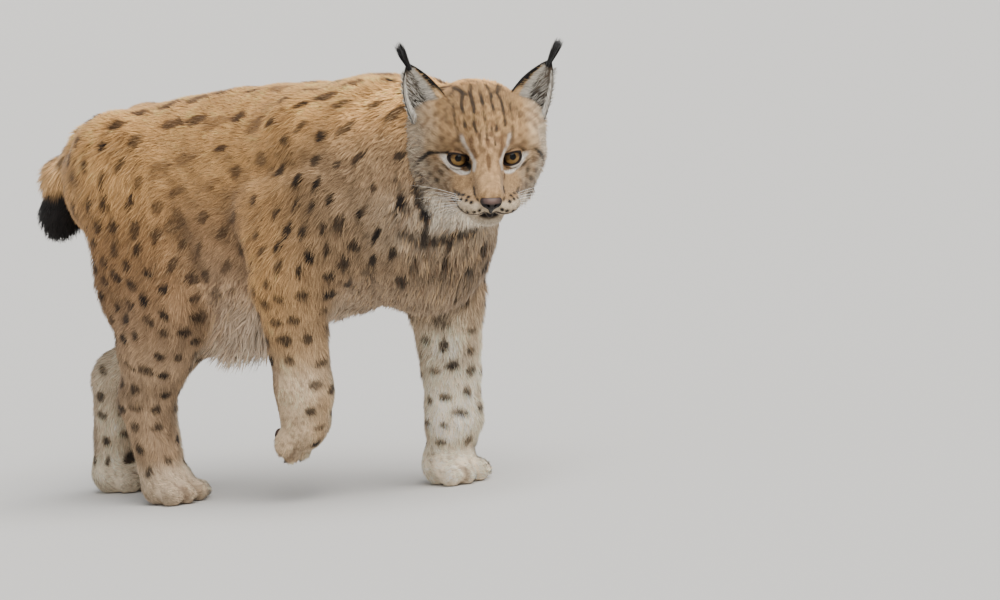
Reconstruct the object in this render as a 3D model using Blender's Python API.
"""A life-size still model of a Eurasian lynx at a slow walk, its head turned to its right."""

import math

import bmesh
import bpy
import numpy as np

# Sizes in metres. X points where the lynx walks, Y to its left, Z up from the floor.
GAP = 0.0003
SEED = 11
BODY_STEP = 0.0055
HEAD_STEP = 0.0023

# Trunk, with its coat: place along the back, top, underside and half width.
TRUNK = (
    (-0.340, 0.530, 0.400, 0.046),
    (-0.290, 0.558, 0.330, 0.070),
    (-0.200, 0.580, 0.244, 0.083),
    (-0.090, 0.593, 0.212, 0.087),
    (0.030, 0.596, 0.228, 0.094),
    (0.140, 0.592, 0.248, 0.097),
    (0.230, 0.582, 0.264, 0.090),
    (0.300, 0.560, 0.300, 0.068),
)
TRUNK_SQUARE = 2.3
BRISKET_NARROWS = 0.26

# Head: midpoint between the eyeballs, and where the face looks.
FACE_AT = (0.432, -0.060, 0.472)
FACE_YAW = -47.0
FACE_PITCH = -17.0
FACE_LEAN = 7.0
EYE_APART = 0.072
EYE_RADIUS = 0.0145
EYE_OUTWARD = 12.0
EYE_SLANT = 14.0
LID_THICK = 0.0026
NOSE_AT = (0.0770, 0.0, -0.0370)
NOSE_SIZE = (0.0105, 0.0140, 0.0095)
MOUTH_CUT = 0.0018
EAR_ROOT = (-0.064, 0.065, 0.040)
EAR_TIP = (-0.072, 0.098, 0.109)
EAR_WIDE = 0.031
EAR_DEEP = 0.022
EAR_THICK = 0.0030
EAR_TUFT = 0.036

# Legs: joint places from the trunk down, where each paw stands and where its toes point.
LEGS = {
    "fore_right": {
        "joints": (
            (0.110, -0.050, 0.505),
            (0.188, -0.078, 0.400),
            (0.076, -0.084, 0.320),
            (0.070, -0.079, 0.158),
        ),
        "paw": (0.031, -0.075, 0.116),
        "toes": (-0.35, 0.0, -0.94),
    },
    "fore_left": {
        "joints": (
            (0.180, 0.050, 0.505),
            (0.268, 0.064, 0.405),
            (0.228, 0.070, 0.270),
            (0.228, 0.052, 0.095),
        ),
        "paw": (0.220, 0.046, 0.0),
        "toes": (0.985, -0.17, 0.0),
    },
    "hind_right": {
        "joints": ((-0.235, -0.045, 0.460), (-0.160, -0.070, 0.288), (-0.240, -0.062, 0.155)),
        "paw": (-0.216, -0.058, 0.0),
        "toes": (0.99, -0.12, 0.0),
    },
    "hind_left": {
        "joints": ((-0.235, 0.045, 0.460), (-0.205, 0.072, 0.265), (-0.392, 0.058, 0.165)),
        "paw": (-0.402, 0.052, 0.0),
        "toes": (0.99, 0.12, 0.0),
    },
}
PAW_LONG = 0.104
PAW_WIDE = 0.078
SOLE_SUNK = 0.005

# Tail, from the croup to its blunt end.
TAIL = ((-0.328, 0.0, 0.520), (-0.390, 0.0, 0.474), (-0.410, 0.0, 0.424))
TAIL_RADII = (0.034, 0.031, 0.033)


def unit(v):
    v = np.asarray(v, float)
    return v / np.linalg.norm(v)


def face_axes():
    """Forward, left and up of the face, one a row."""
    yaw, pitch, lean = (math.radians(v) for v in (FACE_YAW, FACE_PITCH, FACE_LEAN))
    forward = np.array([math.cos(pitch) * math.cos(yaw), math.cos(pitch) * math.sin(yaw), math.sin(pitch)])
    left = np.array([-math.sin(yaw), math.cos(yaw), 0.0])
    up = np.cross(forward, left)
    leaned = (left * math.cos(lean) - up * math.sin(lean), up * math.cos(lean) + left * math.sin(lean))
    return np.array([forward, *leaned])


FACE = face_axes()
FACE_CENTRE = np.array(FACE_AT)


def from_face(point):
    """A place given along the face's own forward, left and up, in the model's frame."""
    return FACE_CENTRE + np.asarray(point, float) @ FACE


# Distance fields: negative inside, in metres.
def blend(a, b, soft):
    h = np.maximum(soft - np.abs(a - b), 0.0) / soft
    return np.minimum(a, b) - h * h * soft / 4


def rod(p, a, b, ra, rb, flat=1.0, side=(0, 1, 0)):
    """A tapering rounded rod, narrower along side where flat is below 1."""
    w = unit(side)
    a = np.asarray(a, float)
    q = p - a
    q = q + (1 / flat - 1) * (q @ w)[:, None] * w
    ab = np.asarray(b, float) - a
    ab = ab + (1 / flat - 1) * (ab @ w) * w
    t = np.clip(q @ ab / (ab @ ab), 0, 1)
    return (np.linalg.norm(q - t[:, None] * ab, axis=1) - ra - (rb - ra) * t) * (1 + flat) / 2


def lump(p, at, size, turn=None):
    """An ellipsoid with its half sizes along the rows of turn."""
    q = p - np.asarray(at, float)
    if turn is not None:
        q = q @ np.asarray(turn, float).T
    s = np.asarray(size, float)
    k0 = np.linalg.norm(q / s, axis=1)
    k1 = np.linalg.norm(q / s**2, axis=1) + 1e-9
    return k0 * (k0 - 1) / k1


def through(x, xs, ys):
    """A smooth curve through the stations."""
    slopes = np.gradient(ys, xs)
    i = np.clip(np.searchsorted(xs, x) - 1, 0, len(xs) - 2)
    h = xs[i + 1] - xs[i]
    t = np.clip((x - xs[i]) / h, 0, 1)
    a = (2 * t**3 - 3 * t**2 + 1) * ys[i] + (t**3 - 2 * t**2 + t) * h * slopes[i]
    return a + (3 * t**2 - 2 * t**3) * ys[i + 1] + (t**3 - t**2) * h * slopes[i + 1]


def trunk(p):
    xs, top, low, wide = (np.array(column) for column in zip(*TRUNK))
    x = np.clip(p[:, 0], xs[0], xs[-1])
    high = through(x, xs, top)
    under = through(x, xs, low)
    half = through(x, xs, wide)
    middle = (high + under) / 2
    tall = (high - under) / 2
    z = (p[:, 2] - middle) / tall
    narrow = 1 - BRISKET_NARROWS * np.clip(-z, 0, 1) ** 2 - 0.10 * np.clip(z, 0, 1) ** 2
    y = p[:, 1] / (half * narrow)
    ring = (np.abs(y) ** TRUNK_SQUARE + np.abs(z) ** TRUNK_SQUARE) ** (1 / TRUNK_SQUARE)
    d = (ring - 1) * np.minimum(half, tall)
    past = np.maximum(np.maximum(xs[0] - p[:, 0], p[:, 0] - xs[-1]), 0)
    d = np.where(past > 0, np.hypot(np.maximum(d, 0), past) - 1e-4, d)
    d = blend(d, lump(p, (-0.318, 0, 0.462), (0.048, 0.060, 0.080)), 0.03)
    d = blend(d, lump(p, (0.268, 0.004, 0.368), (0.094, 0.086, 0.112)), 0.04)
    for side in (-1, 1):
        d = blend(d, lump(p, (-0.255, side * 0.045, 0.520), (0.055, 0.034, 0.044)), 0.03)
    return d


def paw_axes(leg):
    forward = unit(leg["toes"])
    left = np.array([0.0, 1.0, 0.0]) - forward[1] * forward
    left = unit(left)
    return np.array([forward, left, np.cross(forward, left)])


def paw(p, leg):
    """A broad round paw with four toes, its sole a little below the floor before it is cut flat."""
    axes = paw_axes(leg)
    q = (p - np.asarray(leg["paw"], float)) @ axes.T
    q[:, 2] += SOLE_SUNK if leg["paw"][2] == 0 else 0.0
    long, wide = PAW_LONG / 2, PAW_WIDE / 2
    d = lump(q, (-0.006, 0, 0.028), (long * 0.80, wide * 0.88, 0.031))
    for side in (-1, 1):
        d = blend(d, lump(q, (long * 0.60, side * wide * 0.31, 0.020), (0.0235, 0.0125, 0.0185)), 0.006)
        d = blend(d, lump(q, (long * 0.40, side * wide * 0.74, 0.0185), (0.0215, 0.0115, 0.0170)), 0.006)
    return d


def fore_leg(p, leg):
    blade, shoulder, elbow, wrist = (np.array(j) for j in leg["joints"])
    axes = paw_axes(leg)
    instep = np.array(leg["paw"]) + 0.030 * axes[2] - 0.014 * axes[0]
    d = rod(p, blade, shoulder, 0.062, 0.056, 0.62)
    d = blend(d, rod(p, shoulder, elbow, 0.060, 0.056, 0.74), 0.03)
    back = elbow + (shoulder - elbow) * 0.35 + np.array([-0.020, 0, 0.040])
    d = blend(d, lump(p, back, (0.064, 0.036, 0.062)), 0.03)
    d = blend(d, rod(p, elbow, wrist, 0.0575, 0.0410, 0.88), 0.03)
    d = blend(d, rod(p, wrist, instep, 0.0390, 0.0330), 0.02)
    return blend(d, paw(p, leg), 0.018)


def hind_leg(p, leg):
    hip, knee, hock = (np.array(j) for j in leg["joints"])
    axes = paw_axes(leg)
    instep = np.array(leg["paw"]) + 0.032 * axes[2] - 0.018 * axes[0]
    d = rod(p, hip, knee, 0.096, 0.056, 0.62)
    ham = hip + (hock - hip) * 0.40 + np.array([-0.012, 0, 0.0])
    d = blend(d, lump(p, ham, (0.062, 0.044, 0.105)), 0.03)
    d = blend(d, rod(p, knee, hock, 0.058, 0.042, 0.82), 0.04)
    calf = knee + (hock - knee) * 0.48 + np.array([-0.012, 0, 0.004])
    d = blend(d, lump(p, calf, (0.058, 0.040, 0.062)), 0.03)
    d = blend(d, rod(p, hock, instep, 0.0415, 0.0345), 0.02)
    return blend(d, paw(p, leg), 0.018)


def tail(p):
    d = rod(p, TAIL[0], TAIL[1], TAIL_RADII[0], TAIL_RADII[1])
    return blend(d, rod(p, TAIL[1], TAIL[2], TAIL_RADII[1], TAIL_RADII[2]), 0.02)


def neck(p):
    d = rod(p, (0.225, 0.0, 0.466), from_face((-0.094, 0, 0.000)), 0.110, 0.076, 0.88)
    return blend(d, rod(p, (0.270, 0.004, 0.385), from_face((-0.060, 0, -0.056)), 0.080, 0.050), 0.04)


def head(p):
    """Skull, cheeks, brow, muzzle and jaw with the short coat of the face."""
    q = (p - FACE_CENTRE) @ FACE.T
    q[:, 1] = np.abs(q[:, 1])
    d = lump(q, (-0.058, 0, 0.016), (0.076, 0.067, 0.057))
    d = blend(d, lump(q, (-0.046, 0.046, -0.014), (0.048, 0.045, 0.052)), 0.030)
    d = blend(d, lump(q, (-0.068, 0.064, 0.020), (0.026, 0.028, 0.034)), 0.024)
    d = blend(d, rod(q, (-0.014, 0, 0.022), (0.012, 0, 0.012), 0.034, 0.027), 0.024)
    d = blend(d, rod(q, (0.000, 0.024, 0.019), (-0.022, 0.054, 0.016), 0.0125, 0.016), 0.018)
    d = blend(d, rod(q, (0.004, 0, 0.000), (0.065, 0, -0.030), 0.0240, 0.0180), 0.020)
    d = blend(d, rod(q, (-0.010, 0.044, -0.034), (0.022, 0.028, -0.038), 0.024, 0.018), 0.022)
    d = blend(d, lump(q, (0.049, 0.0205, -0.0470), (0.0280, 0.0245, 0.0175)), 0.010)
    d = blend(d, rod(q, (0.0690, 0, -0.0440), (0.0670, 0, -0.0590), 0.0060, 0.0052), 0.006)
    d = blend(d, lump(q, (-0.010, 0, -0.050), (0.054, 0.050, 0.034)), 0.024)
    d = blend(d, lump(q, (0.042, 0, -0.0715), (0.0220, 0.0200, 0.0115)), 0.008)
    d = blend(d, rod(q, (0.030, 0.006, -0.070), (-0.045, 0.042, -0.054), 0.0150, 0.028), 0.016)
    d = blend(d, rod(q, (-0.058, 0.070, -0.006), (-0.040, 0.056, -0.056), 0.024, 0.026), 0.020)
    return -blend(-d, lump(q, (0.0185, EYE_APART / 2, 0.0), (0.0130, 0.0165, 0.0105)), 0.010)


def flesh(p):
    d = blend(trunk(p), neck(p), 0.05)
    d = blend(d, head(p), 0.030)
    for name, leg in LEGS.items():
        limb = fore_leg if name.startswith("fore") else hind_leg
        d = blend(d, limb(p, leg), 0.034)
    return blend(d, tail(p), 0.012)


# From a field to a closed mesh.
def sampled(field, low, high, step):
    """The field on a grid, worked out finely only near the surface."""
    low = np.asarray(low, float)
    counts = np.ceil((np.asarray(high, float) - low) / (4 * step)).astype(int)
    axes = [low[k] + 4 * step * np.arange(counts[k] + 1) for k in range(3)]
    coarse = field(np.stack(np.meshgrid(*axes, indexing="ij"), -1).reshape(-1, 3)).reshape(counts + 1)
    fine = coarse
    for k in range(3):
        fine = np.repeat(fine, 4, axis=k)
    near = np.abs(fine) < 9 * step
    index = np.argwhere(near)
    fine = fine.copy()
    fine[near] = field(low + index * step)
    return fine


def net(values, low, step):
    """A closed surface of four-sided faces round the negative part of the values."""
    inside = values < 0
    cells = np.array(values.shape) - 1
    count = np.zeros(cells, int)
    total = np.zeros((*cells, 3))
    crossings = np.zeros(cells, int)
    corners = [(i, j, k) for i in (0, 1) for j in (0, 1) for k in (0, 1)]

    def corner(array, c):
        return array[c[0] : c[0] + cells[0], c[1] : c[1] + cells[1], c[2] : c[2] + cells[2]]

    for c in corners:
        count += corner(inside, c)
    for c in corners:
        for axis in range(3):
            if c[axis]:
                continue
            other = tuple(v + (n == axis) for n, v in enumerate(c))
            a, b = corner(values, c), corner(values, other)
            cross = (a < 0) != (b < 0)
            t = np.where(cross, a / np.where(cross, a - b, 1.0), 0.0)
            for n in range(3):
                total[..., n] += np.where(cross, c[n] + (t if n == axis else 0.0), 0.0)
            crossings += cross
    active = (count > 0) & (count < 8)
    number = np.full(cells, -1)
    number[active] = np.arange(active.sum())
    where = np.argwhere(active)
    points = np.asarray(low, float) + (where + total[active] / crossings[active][:, None]) * step
    faces = []
    for axis in range(3):
        u, v = (axis + 1) % 3, (axis + 2) % 3
        ahead = np.roll(inside, -1, axis=axis)
        cross = inside != ahead
        cross[tuple(slice(-1, None) if n == axis else slice(None) for n in range(3))] = False
        spot = np.argwhere(cross)
        spot = spot[(spot[:, u] > 0) & (spot[:, v] > 0) & (spot[:, u] < cells[u]) & (spot[:, v] < cells[v])]
        around = []
        for du, dv in ((-1, -1), (0, -1), (0, 0), (-1, 0)):
            cell = spot.copy()
            cell[:, u] += du
            cell[:, v] += dv
            around.append(number[tuple(cell.T)])
        quad = np.stack(around, 1)
        out = inside[tuple(spot.T)]
        faces.append(np.where(out[:, None], quad, quad[:, ::-1]))
    return points, np.concatenate(faces)


def slope(field, p, h=0.0008):
    g = np.stack([field(p + h * e) - field(p - h * e) for e in np.eye(3)], 1)
    return g / (np.linalg.norm(g, axis=1)[:, None] + 1e-12), np.linalg.norm(g, axis=1) / (2 * h)


def settled(field, points, faces, step):
    """The points evened out and moved onto the surface of the field."""
    ends = np.concatenate([faces[:, [i, (i + 1) % 4]] for i in range(4)])
    for _ in range(2):
        mean = np.zeros_like(points)
        count = np.zeros(len(points))
        for a, b in ((0, 1), (1, 0)):
            np.add.at(mean, ends[:, a], points[ends[:, b]])
            np.add.at(count, ends[:, a], 1)
        points = (points + mean / count[:, None]) / 2
        way, steep = slope(field, points)
        move = np.clip(field(points) / np.maximum(steep, 0.5), -step / 2, step / 2)
        points = points - way * move[:, None]
    return points


def made(name, points, faces):
    data = bpy.data.meshes.new(name)
    data.from_pydata([tuple(p) for p in points], [], [tuple(int(i) for i in f) for f in faces])
    data.update()
    obj = bpy.data.objects.new(name, data)
    bpy.context.scene.collection.objects.link(obj)
    return obj


def body_of(name, field, low, high, step, triangles):
    """One closed mesh of the field inside the box, thinned to about the number of triangles."""
    low, high = np.asarray(low, float), np.asarray(high, float)

    def boxed(p):
        return np.maximum(field(p), np.maximum(low + 1.5 * step - p, p - high + 1.5 * step).max(axis=1))

    values = sampled(boxed, low, high, step)
    points, faces = net(values, low, step)
    obj = made(name, settled(boxed, points, faces, step), faces)
    count = len(faces) * 2
    thin = obj.modifiers.new("thin", "DECIMATE")
    thin.ratio = min(1.0, triangles / count)
    return applied(obj)


def applied(obj):
    """The object with its modifiers worked into its mesh."""
    graph = bpy.context.evaluated_depsgraph_get()
    data = bpy.data.meshes.new_from_object(obj.evaluated_get(graph))
    old = obj.data
    obj.modifiers.clear()
    obj.data = data
    data.name = obj.name
    bpy.data.meshes.remove(old)
    return obj


def largest(obj):
    """Only the largest closed surface of the object is kept."""
    bm = bmesh.new()
    bm.from_mesh(obj.data)
    bmesh.ops.triangulate(bm, faces=bm.faces)
    left = set(bm.faces)
    parts = []
    while left:
        seed = left.pop()
        part, front = {seed}, [seed]
        while front:
            for edge in front.pop().edges:
                for face in edge.link_faces:
                    if face in left:
                        left.discard(face)
                        part.add(face)
                        front.append(face)
        parts.append(part)
    parts.sort(key=lambda part: sum(f.calc_area() for f in part))
    for part in parts[:-1]:
        bmesh.ops.delete(bm, geom=list(part), context="FACES")
    loose = [v for v in bm.verts if not v.link_faces]
    bmesh.ops.delete(bm, geom=loose, context="VERTS")
    bm.to_mesh(obj.data)
    bm.free()
    return obj


def cleaned(obj, within=4e-6):
    """The object with points that all but touch made one, and pinched edges closed up."""
    bm = bmesh.new()
    bm.from_mesh(obj.data)
    bmesh.ops.triangulate(bm, faces=bm.faces)
    bmesh.ops.remove_doubles(bm, verts=bm.verts, dist=within)
    bmesh.ops.dissolve_degenerate(bm, dist=within, edges=bm.edges)
    for _ in range(8):
        bmesh.ops.triangulate(bm, faces=bm.faces)
        twins = {}
        for face in bm.faces:
            twins.setdefault(tuple(sorted(v.index for v in face.verts)), []).append(face)
        doubled = [face for group in twins.values() if len(group) > 1 for face in group]
        bmesh.ops.delete(bm, geom=doubled, context="FACES")
        pinched = [e for e in bm.edges if len(e.link_faces) not in (0, 2)]
        if not pinched:
            break
        bmesh.ops.collapse(bm, edges=pinched)
        bm.verts.index_update()
    bmesh.ops.delete(bm, geom=[e for e in bm.edges if not e.link_faces], context="EDGES")
    bm.to_mesh(obj.data)
    bm.free()
    return obj


def combined(obj, other, how, solver="EXACT"):
    """The object after one Boolean step with the other, which stays."""
    step = obj.modifiers.new(how, "BOOLEAN")
    step.operation = how
    step.object = other
    step.solver = solver
    return applied(obj)


def fused(obj, pieces):
    """The object joined with many closed pieces, which are used up."""
    group = bpy.data.collections.new(obj.name + "_pieces")
    bpy.context.scene.collection.children.link(group)
    for piece in pieces:
        bpy.context.scene.collection.objects.unlink(piece)
        group.objects.link(piece)
    step = obj.modifiers.new("fuse", "BOOLEAN")
    step.operand_type = "COLLECTION"
    step.collection = group
    step.operation = "UNION"
    step.solver = "EXACT"
    applied(obj)
    for piece in pieces:
        bpy.data.objects.remove(piece)
    bpy.data.collections.remove(group)
    return largest(obj)


def block(name, corner_points):
    """The convex block round the points, for cutting."""
    bm = bmesh.new()
    for p in corner_points:
        bm.verts.new(p)
    bmesh.ops.convex_hull(bm, input=bm.verts)
    bmesh.ops.recalc_face_normals(bm, faces=bm.faces)
    data = bpy.data.meshes.new(name)
    bm.to_mesh(data)
    bm.free()
    obj = bpy.data.objects.new(name, data)
    obj.hide_render = True
    obj.display_type = "WIRE"
    bpy.context.scene.collection.objects.link(obj)
    return obj


def removed(obj):
    data = obj.data
    bpy.data.objects.remove(obj)
    bpy.data.meshes.remove(data)


def copied(obj, name):
    twin = obj.copy()
    twin.data = obj.data.copy()
    twin.name = name
    bpy.context.scene.collection.objects.link(twin)
    return twin


def parted(obj, name, corners):
    """Splits off what lies in the convex block, with the thin gap left between the two."""
    inner = block("cut_in", corners)
    taken = combined(copied(obj, name), inner, "INTERSECT")
    corners = np.array(corners, float)
    outer = grown(copied(inner, "cut_out"), GAP)
    combined(obj, outer, "DIFFERENCE")
    removed(inner)
    removed(outer)
    return largest(taken)


def grown(obj, by):
    """The object with every point moved out along its normal."""
    bm = bmesh.new()
    bm.from_mesh(obj.data)
    bmesh.ops.triangulate(bm, faces=bm.faces)
    bm.normal_update()
    moves = []
    for v in bm.verts:
        normals = [f.normal for f in v.link_faces if f.calc_area() > 1e-12]
        rows = np.array([list(n) for n in normals])
        move = np.linalg.lstsq(rows, np.ones(len(rows)), rcond=1e-2)[0]
        size = np.linalg.norm(move)
        moves.append(move * min(1.0, 3.0 / size) * by if size > 0 else move)
    for v, move in zip(bm.verts, moves):
        v.co += type(v.co)(move)
    bm.to_mesh(obj.data)
    bm.free()
    return obj


def half_space(origin, normal, across=0.8, deep=0.8):
    """Corners of a block that fills the space past a plane."""
    n = unit(normal)
    a = unit(np.cross(n, (0.0, 0.0, 1.0) if abs(n[2]) < 0.9 else (1.0, 0.0, 0.0)))
    b = np.cross(n, a)
    start = np.asarray(origin, float)
    corners = [start + i * across * a + j * across * b for i in (-1, 1) for j in (-1, 1)]
    return [at + t * n for at in corners for t in (0, deep)]


def roofed(x0, x1, inner, high, outer, rise):
    """Corners of a leg's share: below a roof that climbs from the midline outwards."""
    points = []
    for x in (x0, x1):
        points += [(x, inner, high), (x, outer, high + rise), (x, inner, -0.05), (x, outer, -0.05)]
    return points


def shell_patch(name, margin, roots, inner, outer):
    """A closed curved plate between two rows of directions from its centre, both rows of equal length."""
    rows = [margin + (roots - margin) * t for t in (0.0, 0.12, 0.4, 0.7, 1.0)]
    rows = [r / np.linalg.norm(r, axis=1)[:, None] for r in rows]
    n = len(margin)
    skin = [np.concatenate([row * size for row in rows]) for size in (inner, outer)]
    skin[1][:n] = rows[0] * (inner * 0.35 + outer * 0.65)
    points = np.concatenate(skin)
    faces = []
    count = n * len(rows)
    for r in range(len(rows) - 1):
        for i in range(n - 1):
            a, b, c, d = r * n + i, r * n + i + 1, (r + 1) * n + i + 1, (r + 1) * n + i
            faces.append((d, c, b, a))
            faces.append((count + a, count + b, count + c, count + d))
    rim = [i for i in range(n)]
    rim += [r * n + n - 1 for r in range(1, len(rows))]
    rim += [(len(rows) - 1) * n + i for i in range(n - 2, -1, -1)]
    rim += [r * n for r in range(len(rows) - 2, 0, -1)]
    for i, a in enumerate(rim):
        b = rim[(i + 1) % len(rim)]
        faces.append((a, b, count + b, count + a))
    return made(name, points, faces)


def outward(obj):
    """The object with all faces turned outwards."""
    bm = bmesh.new()
    bm.from_mesh(obj.data)
    bmesh.ops.recalc_face_normals(bm, faces=bm.faces)
    bm.to_mesh(obj.data)
    bm.free()
    return obj


def eye_axes(side):
    """Forward, left and up of one eye, one a row, in the face's own frame."""
    a = math.radians(EYE_OUTWARD) * side
    forward = np.array([math.cos(a), math.sin(a), 0.0])
    left = np.array([-math.sin(a), math.cos(a), 0.0])
    up = np.array([0.0, 0.0, 1.0])
    s = math.radians(EYE_SLANT) * side
    return np.array([forward, left * math.cos(s) + up * math.sin(s), up * math.cos(s) - left * math.sin(s)])


LID_LINES = {
    "upper": {"corner": 62.0, "open": 25.0, "root": 68.0},
    "lower": {"corner": 62.0, "open": -33.0, "root": -66.0},
}


def lid(name, side, line, steps=13):
    """One eyelid: a curved plate over the eyeball, from its margin to its root under the skin."""
    axes = eye_axes(side)
    t = np.linspace(-1, 1, steps)
    across = np.radians(line["corner"]) * t
    corner = math.copysign(2.5, line["open"]) * np.abs(t) ** 4
    margin_up = np.radians(line["open"] * (1 - np.abs(t) ** 2.2) - corner)
    root_up = np.full(steps, math.radians(line["root"]))
    across_root = np.radians(line["corner"] + 14) * t

    def directions(azimuth, height):
        flat = np.cos(height)
        local = np.stack([flat * np.cos(azimuth), flat * np.sin(azimuth), np.sin(height)], 1)
        return local @ axes

    inner, outer = EYE_RADIUS - 0.003, EYE_RADIUS + LID_THICK
    plate = shell_patch(name, directions(across, margin_up), directions(across_root, root_up), inner, outer)
    for v in plate.data.vertices:
        v.co = from_face(np.array(v.co) + np.array([0.0, side * EYE_APART / 2, 0.0]))
    return outward(plate)


def ball(name, centre, radius, around=14, rings=10):
    bm = bmesh.new()
    bmesh.ops.create_uvsphere(bm, u_segments=around, v_segments=rings, radius=radius)
    data = bpy.data.meshes.new(name)
    bm.to_mesh(data)
    bm.free()
    obj = bpy.data.objects.new(name, data)
    bpy.context.scene.collection.objects.link(obj)
    for v in obj.data.vertices:
        v.co = from_face(np.array(v.co)[[2, 0, 1]]) - FACE_CENTRE + centre
    return obj


def nose_pad(p):
    """The bare nose: broad on top, narrow towards the lip."""
    q = (p - from_face(NOSE_AT)) @ FACE.T
    q[:, 1] = np.abs(q[:, 1]) * (1.0 - 18.0 * np.clip(q[:, 2], -0.01, 0.01))
    d = lump(q, (0, 0, 0), NOSE_SIZE)
    d = blend(d, lump(q, (-0.001, 0.0085, -0.0005), (0.0085, 0.0060, 0.0062)), 0.003)
    return blend(d, lump(q, (-0.003, 0, -0.0085), (0.0070, 0.0042, 0.0060)), 0.003)


def nose_with_nostrils(p):
    q = (p - from_face(NOSE_AT)) @ FACE.T
    q[:, 1] = np.abs(q[:, 1])
    hole = rod(q, (0.0105, 0.0048, -0.0020), (0.0060, 0.0110, -0.0012), 0.0020, 0.0012)
    hole = np.minimum(hole, rod(q, (0.0060, 0.0048, -0.0022), (0.0125, 0.0046, -0.0018), 0.0019, 0.0021))
    groove = rod(q, (0.0115, 0, 0.001), (0.0060, 0, -0.014), 0.0006, 0.0009)
    d = -blend(-nose_pad(p), hole, 0.0008)
    return -blend(-d, groove, 0.0008)


def mouth_cutter():
    """A thin curved blade along the line where the lips meet."""
    line = (
        (0.0765, 0.000, -0.0610),
        (0.0700, 0.012, -0.0638),
        (0.0585, 0.024, -0.0652),
        (0.0420, 0.035, -0.0640),
        (0.0230, 0.0425, -0.0590),
    )
    right = [(f, -w, u) for f, w, u in line[:0:-1]]
    path = [np.array(v) for v in right + list(line)]
    points, faces = [], []
    for i, at in enumerate(path):
        ahead = path[min(i + 1, len(path) - 1)] - path[max(i - 1, 0)]
        out = unit(np.cross(unit(ahead), (0.0, 0.0, 1.0)))
        out = out if out @ (at - np.array([0.0, 0.0, -0.06])) > 0 else -out
        end = i in (0, len(path) - 1)
        up = np.array([0.0, 0.0, MOUTH_CUT / 2 * (0.4 if end else 1.0)])
        deep = 0.003 if end else 0.0060
        corners = (at + out * 0.006 + up, at - out * deep, at + out * 0.006 - up)
        points += [from_face(corner) for corner in corners]
        if i:
            a, b = 3 * (i - 1), 3 * i
            faces += [(a + k, a + (k + 1) % 3, b + (k + 1) % 3, b + k) for k in range(3)]
    faces += [(0, 1, 2), (len(points) - 1, len(points) - 2, len(points) - 3)]
    return outward(made("mouth_cutter", points, faces))


def ear_frame(side):
    """Root and tip of an ear, and the ways it rises, widens and deepens, along the face."""
    root, tip = (np.array(v) * (1, side, 1) for v in (EAR_ROOT, EAR_TIP))
    rise = unit(tip - root)
    across = np.array([0.18, side * 0.72, -0.66])
    across = unit(across - rise * (across @ rise))
    back = np.cross(rise, across)
    return root, tip, rise, across, back if back[0] < 0 else -back


def ear_point(side, up, turn, less):
    """A place on the cup: up from root to tip, turn from -1 at the inner edge to 1 at the outer."""
    root, tip, rise, across, back = ear_frame(side)
    k = max(up, 0.0)
    half = EAR_WIDE * (1 - 0.25 * k - 0.60 * k**2.4) * (1.0 if up > 0 else 1 + 0.2 * up)
    deep = EAR_DEEP * (1 - 0.80 * k**1.3)
    thin = EAR_THICK * (0.85 - 0.3 * k) * less
    reach = math.radians(112 - 12 * k)
    bow = back * 0.010 * math.sin(math.pi * min(k, 1))
    at = root + (tip - root) * (up + 0.012 * less) + bow + across * math.sin(reach * turn) * (half - thin)
    return at + back * ((math.cos(reach * turn) - math.cos(reach)) * deep * 0.78 - thin)


def ear(name, side, rows=8, around=9):
    """A pointed cup that opens forwards and outwards, closed at its tip."""
    points = []
    for less in (0, 1):
        for r in range(rows):
            up = -0.24 + 1.22 * r / (rows - 1)
            turns = [2 * i / (around - 1) - 1 for i in range(around)]
            points += [from_face(ear_point(side, up, turn, less)) for turn in turns]
    n = rows * around
    faces = []
    for r in range(rows - 1):
        for i in range(around - 1):
            a, b, c, d = r * around + i, r * around + i + 1, (r + 1) * around + i + 1, (r + 1) * around + i
            faces.append((a, b, c, d))
            faces.append((n + d, n + c, n + b, n + a))
    rim = list(range(around)) + [r * around + around - 1 for r in range(1, rows)]
    rim += [(rows - 1) * around + i for i in range(around - 2, -1, -1)]
    rim += [r * around for r in range(rows - 2, 0, -1)]
    for i, a in enumerate(rim):
        b = rim[(i + 1) % len(rim)]
        faces.append((b, a, n + a, n + b))
    return outward(made(name, points, faces))


def lock(name, root, way, flat_way, long, wide, thick, droop, steps=3, sink=0.008):
    """A flat tapered lock: from below the skin at root along way, bending towards droop."""
    way, droop = unit(way), np.asarray(droop, float)
    at = np.asarray(root, float) - way * sink
    points, path = [], [at]
    for i in range(steps):
        way = unit(way + droop * (0.5 + i) / steps)
        at = at + way * ((long + sink) / steps)
        path.append(at)
    for i, at in enumerate(path[:-1]):
        t = i / steps
        ahead = unit(path[min(i + 1, steps)] - path[max(i - 1, 0)])
        across = unit(np.cross(ahead, flat_way))
        up = np.cross(across, ahead)
        k = (0.72 + 1.1 * t) * (1 - t) ** 0.62
        side, face = across * wide / 2 * k, up * thick / 2 * k
        points += [at + side, at + face, at - side, at - face]
    points.append(path[-1])
    faces = [(3, 2, 1, 0)]
    for i in range(steps - 1):
        for k in range(4):
            a, b = 4 * i + k, 4 * i + (k + 1) % 4
            faces.append((a, b, b + 4, a + 4))
    last = 4 * (steps - 1)
    faces += [(last + k, last + (k + 1) % 4, len(points) - 1) for k in range(4)]
    return outward(made(name, points, faces))


def marched(field, start, way, steps=60):
    """The first place on the surface from start along way, and the outward direction there."""
    at, way = np.array(start, float), unit(way)
    for _ in range(steps):
        at = at + way * float(field(at[None])[0]) * 0.8
    return at, slope(field, at[None])[0][0]


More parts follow.
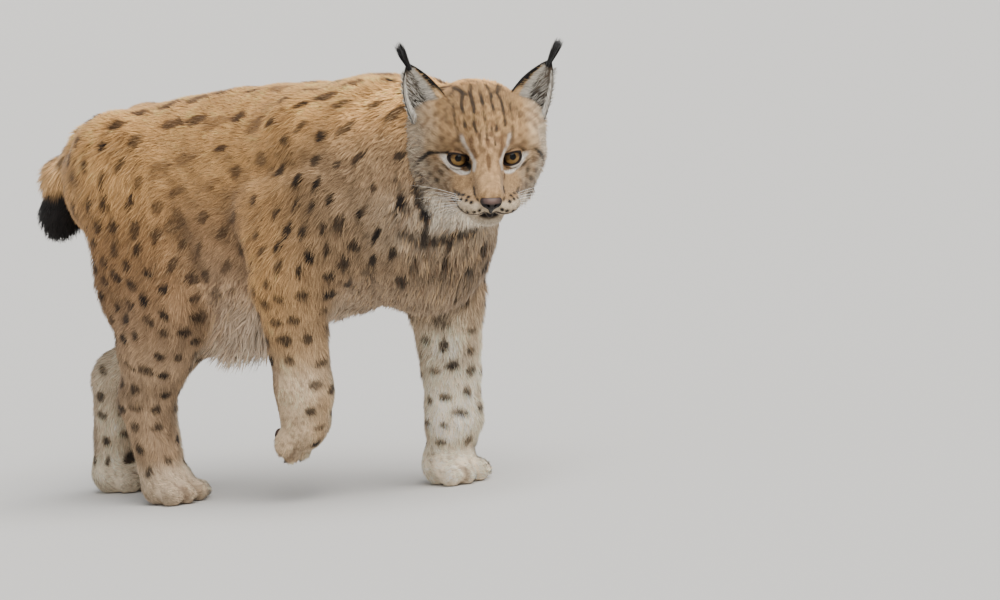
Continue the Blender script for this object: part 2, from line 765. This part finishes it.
def coat_lock(name, field, start, inward, lie, lift, long, wide, thick, droop):
    """A lock rooted where the line from start meets the skin, laid along lie and lifted a little."""
    root, out = marched(field, start, inward)
    lie = unit(lie)
    flat = unit(lie - out * (lie @ out))
    return lock(name, root, unit(flat + out * lift), out, long, wide, thick, droop)


# Ruff rows from the chin back to below the ears: place along the face, first and last angle, count, length.
RUFF = ((0.004, 14.0, 66.0, 5, 0.030), (-0.020, 6.0, 88.0, 8, 0.042), (-0.044, 8.0, 104.0, 9, 0.052))


def ruff(draw):
    locks = []
    for place, first, last, count, long in RUFF:
        for side in (-1, 1):
            for angle in np.linspace(first, last, count):
                a = math.radians(angle + draw.uniform(-2.5, 2.5))
                spoke = np.array([0.0, side * math.sin(a), -math.cos(a)])
                start = from_face(np.array([place + draw.uniform(-0.004, 0.004), 0, -0.022]) + spoke * 0.16)
                lie = np.array([-0.50, side * 0.30 * math.sin(a), -0.62 - 0.30 * math.sin(a)])
                size = long * (0.78 + 0.34 * math.sin(2 * min(a, math.pi / 2))) * draw.uniform(0.88, 1.12)
                lift = 0.30 - 0.16 * math.sin(a) ** 2
                locks.append(coat_lock("ruff", flesh, start, -(spoke @ FACE), lie @ FACE, lift, size,
                                       size * 0.58, 0.0070, np.array([0, 0, -0.20])))
    return locks


def ear_hair(side, draw):
    """The black tuft at the tip, and pale hair across the opening."""
    root, tip, rise, across, back = ear_frame(side)
    locks = []
    for k in range(4):
        turn = (k - 1.5) * 0.09
        way = unit(rise + across * turn + np.array([0.05 * (k % 2), 0, 0]))
        long = EAR_TUFT * (1.0 - 0.10 * abs(k - 1.5)) * draw.uniform(0.94, 1.06)
        at = tip - rise * 0.004 + across * turn * 0.012
        droop = (0, -0.10 * side, 0) @ FACE
        locks.append(lock("tuft", from_face(at), way @ FACE, FACE[0], long, 0.0066, 0.0040, droop))
    for k in range(5):
        up = 0.12 + 0.125 * k
        at = ear_point(side, up, -0.90, 0.5)
        way = unit(across * 0.9 + rise * (0.30 + 0.12 * k) + np.array([0.10, 0, 0]))
        long = (0.034 - 0.0042 * k) * draw.uniform(0.9, 1.1)
        droop = (-0.2, 0, 0) @ FACE
        locks.append(lock("hair", from_face(at), way @ FACE, FACE[0], long, 0.0130, 0.0024, droop, sink=0.0012))
    return locks


def belly_locks(draw):
    locks = []
    for x in np.linspace(-0.225, 0.075, 10):
        for y in (0.0,) if x < -0.10 else (-0.024, 0.024):
            at = (x + draw.uniform(-0.006, 0.006), y + draw.uniform(-0.004, 0.004), 0.02)
            long, droop = 0.036 * draw.uniform(0.85, 1.15), (0, y * 4, -0.4)
            locks.append(coat_lock("belly", trunk, at, (0, 0, 1), (-1, 0, 0), 0.95, long, 0.036, 0.010, droop))
    for z in (0.300, 0.335):
        for y in (-0.036, 0.0, 0.036):
            at = (0.60, y + draw.uniform(-0.006, 0.006), z + draw.uniform(-0.008, 0.008))
            long, lie, droop = 0.042 * draw.uniform(0.9, 1.1), (-0.2, 0, -1), (0, 0, -0.2)
            locks.append(coat_lock("breast", flesh, at, (-1, 0, 0), lie, 0.22, long, 0.030, 0.009, droop))
    return locks


def leg_locks(name, draw):
    leg = LEGS[name]
    hind = name.startswith("hind")
    side = 1 if name.endswith("left") else -1
    limb = hind_leg if hind else fore_leg
    joint = np.array(leg["joints"][2])
    rows = ((0.0, 0.0), (-0.035, 0.014))
    if hind:
        rows = ((0.095, 0.0), (0.130, 0.018), (0.165, -0.004), (0.198, 0.016))
    lie, droop = (-0.25, 0, -1), (0.1, 0, -0.2)
    locks = []
    for high, shift in rows:
        start = (joint[0] - 0.25, joint[1] + side * shift, joint[2] + high)
        long = 0.040 * draw.uniform(0.9, 1.1)
        skin = lambda p: limb(p, leg)
        locks.append(coat_lock("trouser", skin, start, (1, 0, 0), lie, 0.20, long, 0.026, 0.009, droop))
    return locks


def tail_locks(draw):
    locks = []
    end, before = np.array(TAIL[2]), np.array(TAIL[1])
    way = unit(end - before)
    a = unit(np.cross(way, (0, 1, 0)))
    for k in range(10):
        turn = 2 * math.pi * (k + draw.uniform(-0.2, 0.2)) / 10
        spoke = a * math.cos(turn) + np.array([0, 1, 0]) * math.sin(turn)
        at = end + spoke * 0.08 + way * (0.004 if k % 2 else -0.016)
        long = 0.044 * draw.uniform(0.85, 1.1)
        locks.append(coat_lock("tail_end", tail, at, -spoke, way, 0.10, long, 0.021, 0.009, -spoke * 0.35))
    return locks


def cut_clear(obj, *others):
    """Takes away what reaches into the others, with the thin gap kept."""
    for other in others:
        cutter = grown(copied(other, "cutter"), GAP * 0.7)
        cutter.hide_render = True
        combined(obj, cutter, "DIFFERENCE")
        removed(cutter)
    return largest(obj)


def material(obj, colour, rough):
    made_of = bpy.data.materials.new(obj.name + "_coat")
    made_of.use_nodes = True
    shader = made_of.node_tree.nodes["Principled BSDF"]
    shader.inputs["Base Color"].default_value = (*colour, 1.0)
    shader.inputs["Roughness"].default_value = rough
    obj.data.materials.clear()
    obj.data.materials.append(made_of)


# Linear colours of the coat and the bare parts.
TAWNY = (0.42, 0.27, 0.15)
PALE = (0.47, 0.38, 0.28)
CREAM = (0.52, 0.43, 0.33)
BLACK = (0.012, 0.011, 0.010)
COLOURS = {
    "torso": TAWNY, "neck": TAWNY, "head": (0.40, 0.28, 0.17), "tail": BLACK, "nose": (0.10, 0.045, 0.035),
    "eye_left": (0.22, 0.10, 0.02), "eye_right": (0.22, 0.10, 0.02), "ear_left": PALE, "ear_right": PALE,
}

# Where the body is parted, each leg's share given by its reach along X and its roof.
HEAD_BACK = (-0.0785, 13.0)
NECK_BASE = ((0.2975, 0.0, 0.4675), (0.932, -0.10, 0.361))
SHARES = {
    "foreleg_right": roofed(-0.010, 0.170, -0.030, 0.232, -0.200, 0.206),
    "foreleg_left": roofed(0.130, 0.330, 0.001, 0.215, 0.200, 0.225),
    "hindleg_right": roofed(-0.400, -0.092, -0.014, 0.210, -0.200, 0.330),
    "hindleg_left": roofed(-0.480, -0.120, 0.003, 0.195, 0.200, 0.340),
}
PAW_CUT = 0.058
TAIL_SHARE = ((-0.358, 0.580), (-0.366, 0.340), (-0.520, 0.340), (-0.520, 0.580))


def paw_share(name):
    """Corners of a paw's share: all that lies past a level at its wrist or ankle."""
    leg = LEGS[name.replace("leg", "")]
    if leg["paw"][2] == 0:
        return half_space((0, 0, PAW_CUT), (0, 0, -1), deep=0.1)
    axes = paw_axes(leg)
    return half_space(np.array(leg["paw"]) + 0.030 * axes[2] - 0.016 * axes[0], axes[0], deep=0.2)


def head_block():
    """Corners of the head's share, its back plane tilted with the jaw."""
    at, tilt = HEAD_BACK
    tilt = math.radians(tilt)
    points = []
    for u in (-0.108, 0.150):
        f = (at - u * math.sin(tilt)) / math.cos(tilt)
        points += [from_face((f, w, u)) for w in (-0.16, 0.16)]
        points += [from_face((0.16, w, u)) for w in (-0.16, 0.16)]
    return points


def build():
    for obj in list(bpy.data.objects):
        bpy.data.objects.remove(obj)
    nodes = {}
    body = body_of("torso", flesh, (-0.48, -0.17, -0.02), (0.56, 0.17, 0.66), BODY_STEP, 3900)
    combined(body, block("floor", half_space((0, 0, 0), (0, 0, -1), deep=0.1)), "DIFFERENCE")
    low, high = from_face((0, 0, 0)) - 0.165, from_face((0, 0, 0)) + 0.150
    face = body_of("head_raw", flesh, low, high, HEAD_STEP, 3000)
    share = head_block()
    cutter = block("head_share", share)
    head_node = combined(face, cutter, "INTERSECT")
    head_node.name = "head"
    removed(parted(body, "old_head", share))
    nodes["neck"] = parted(body, "neck", half_space(*NECK_BASE))
    nodes["tail"] = parted(body, "tail", [(x, y, z) for y in (-0.1, 0.1) for x, z in TAIL_SHARE])
    for name, corners in SHARES.items():
        nodes[name] = parted(body, name, corners)
    for name in SHARES:
        paw_name = name.replace("leg", "paw")
        nodes[paw_name] = parted(nodes[name], paw_name, paw_share(name))
        largest(nodes[name])
    nodes["torso"] = largest(body)
    lids = [lid("lid", side, line) for side in (-1, 1) for line in LID_LINES.values()]
    head_node = fused(head_node, lids)
    for side, word in ((-1, "right"), (1, "left")):
        centre = from_face((0, side * EYE_APART / 2, 0))
        nodes["eye_" + word] = ball("eye_" + word, centre, EYE_RADIUS)
        socket = ball("socket", centre, EYE_RADIUS + GAP)
        combined(head_node, socket, "DIFFERENCE")
        removed(socket)
    blade = mouth_cutter()
    combined(head_node, blade, "DIFFERENCE")
    removed(blade)
    low, high = from_face(NOSE_AT) - 0.024, from_face(NOSE_AT) + 0.024
    nodes["nose"] = body_of("nose", nose_with_nostrils, low, high, 0.0011, 320)
    pocket = body_of("pocket", lambda p: nose_pad(p) - 2 * GAP, low, high, 0.0011, 320)
    combined(head_node, pocket, "DIFFERENCE")
    removed(pocket)
    nodes["head"] = largest(head_node)
    draw = np.random.default_rng(SEED)
    fused(nodes["head"], ruff(draw))
    cut_clear(cleaned(nodes["head"]), nodes["neck"], nodes["torso"])
    for side, word in ((-1, "right"), (1, "left")):
        cup = cut_clear(ear("ear_" + word, side), nodes["head"])
        nodes["ear_" + word] = cut_clear(fused(cup, ear_hair(side, draw)), nodes["head"])
    fused(nodes["tail"], tail_locks(draw))
    for name in SHARES:
        fused(nodes[name], leg_locks(name.replace("leg", ""), draw))
    fused(nodes["torso"], belly_locks(draw))
    cut_clear(cleaned(nodes["torso"]), nodes["neck"], *(nodes[name] for name in SHARES))
    for obj in nodes.values():
        largest(cleaned(obj))
    for helper in [o for o in bpy.data.objects if o.name not in nodes]:
        removed(helper)
    points = np.concatenate([[list(v.co) for v in obj.data.vertices] for obj in nodes.values()])
    centre = (points.min(axis=0) + points.max(axis=0)) / 2
    for name, obj in nodes.items():
        obj.name = name
        for v in obj.data.vertices:
            v.co = (v.co.x - centre[0], v.co.y - centre[1], v.co.z)
        material(obj, COLOURS.get(name, PALE if "fore" in name else CREAM), 0.9)
        obj.data.shade_smooth()
        print(name, sum(len(f.vertices) - 2 for f in obj.data.polygons))
    print("shift", centre)


build()
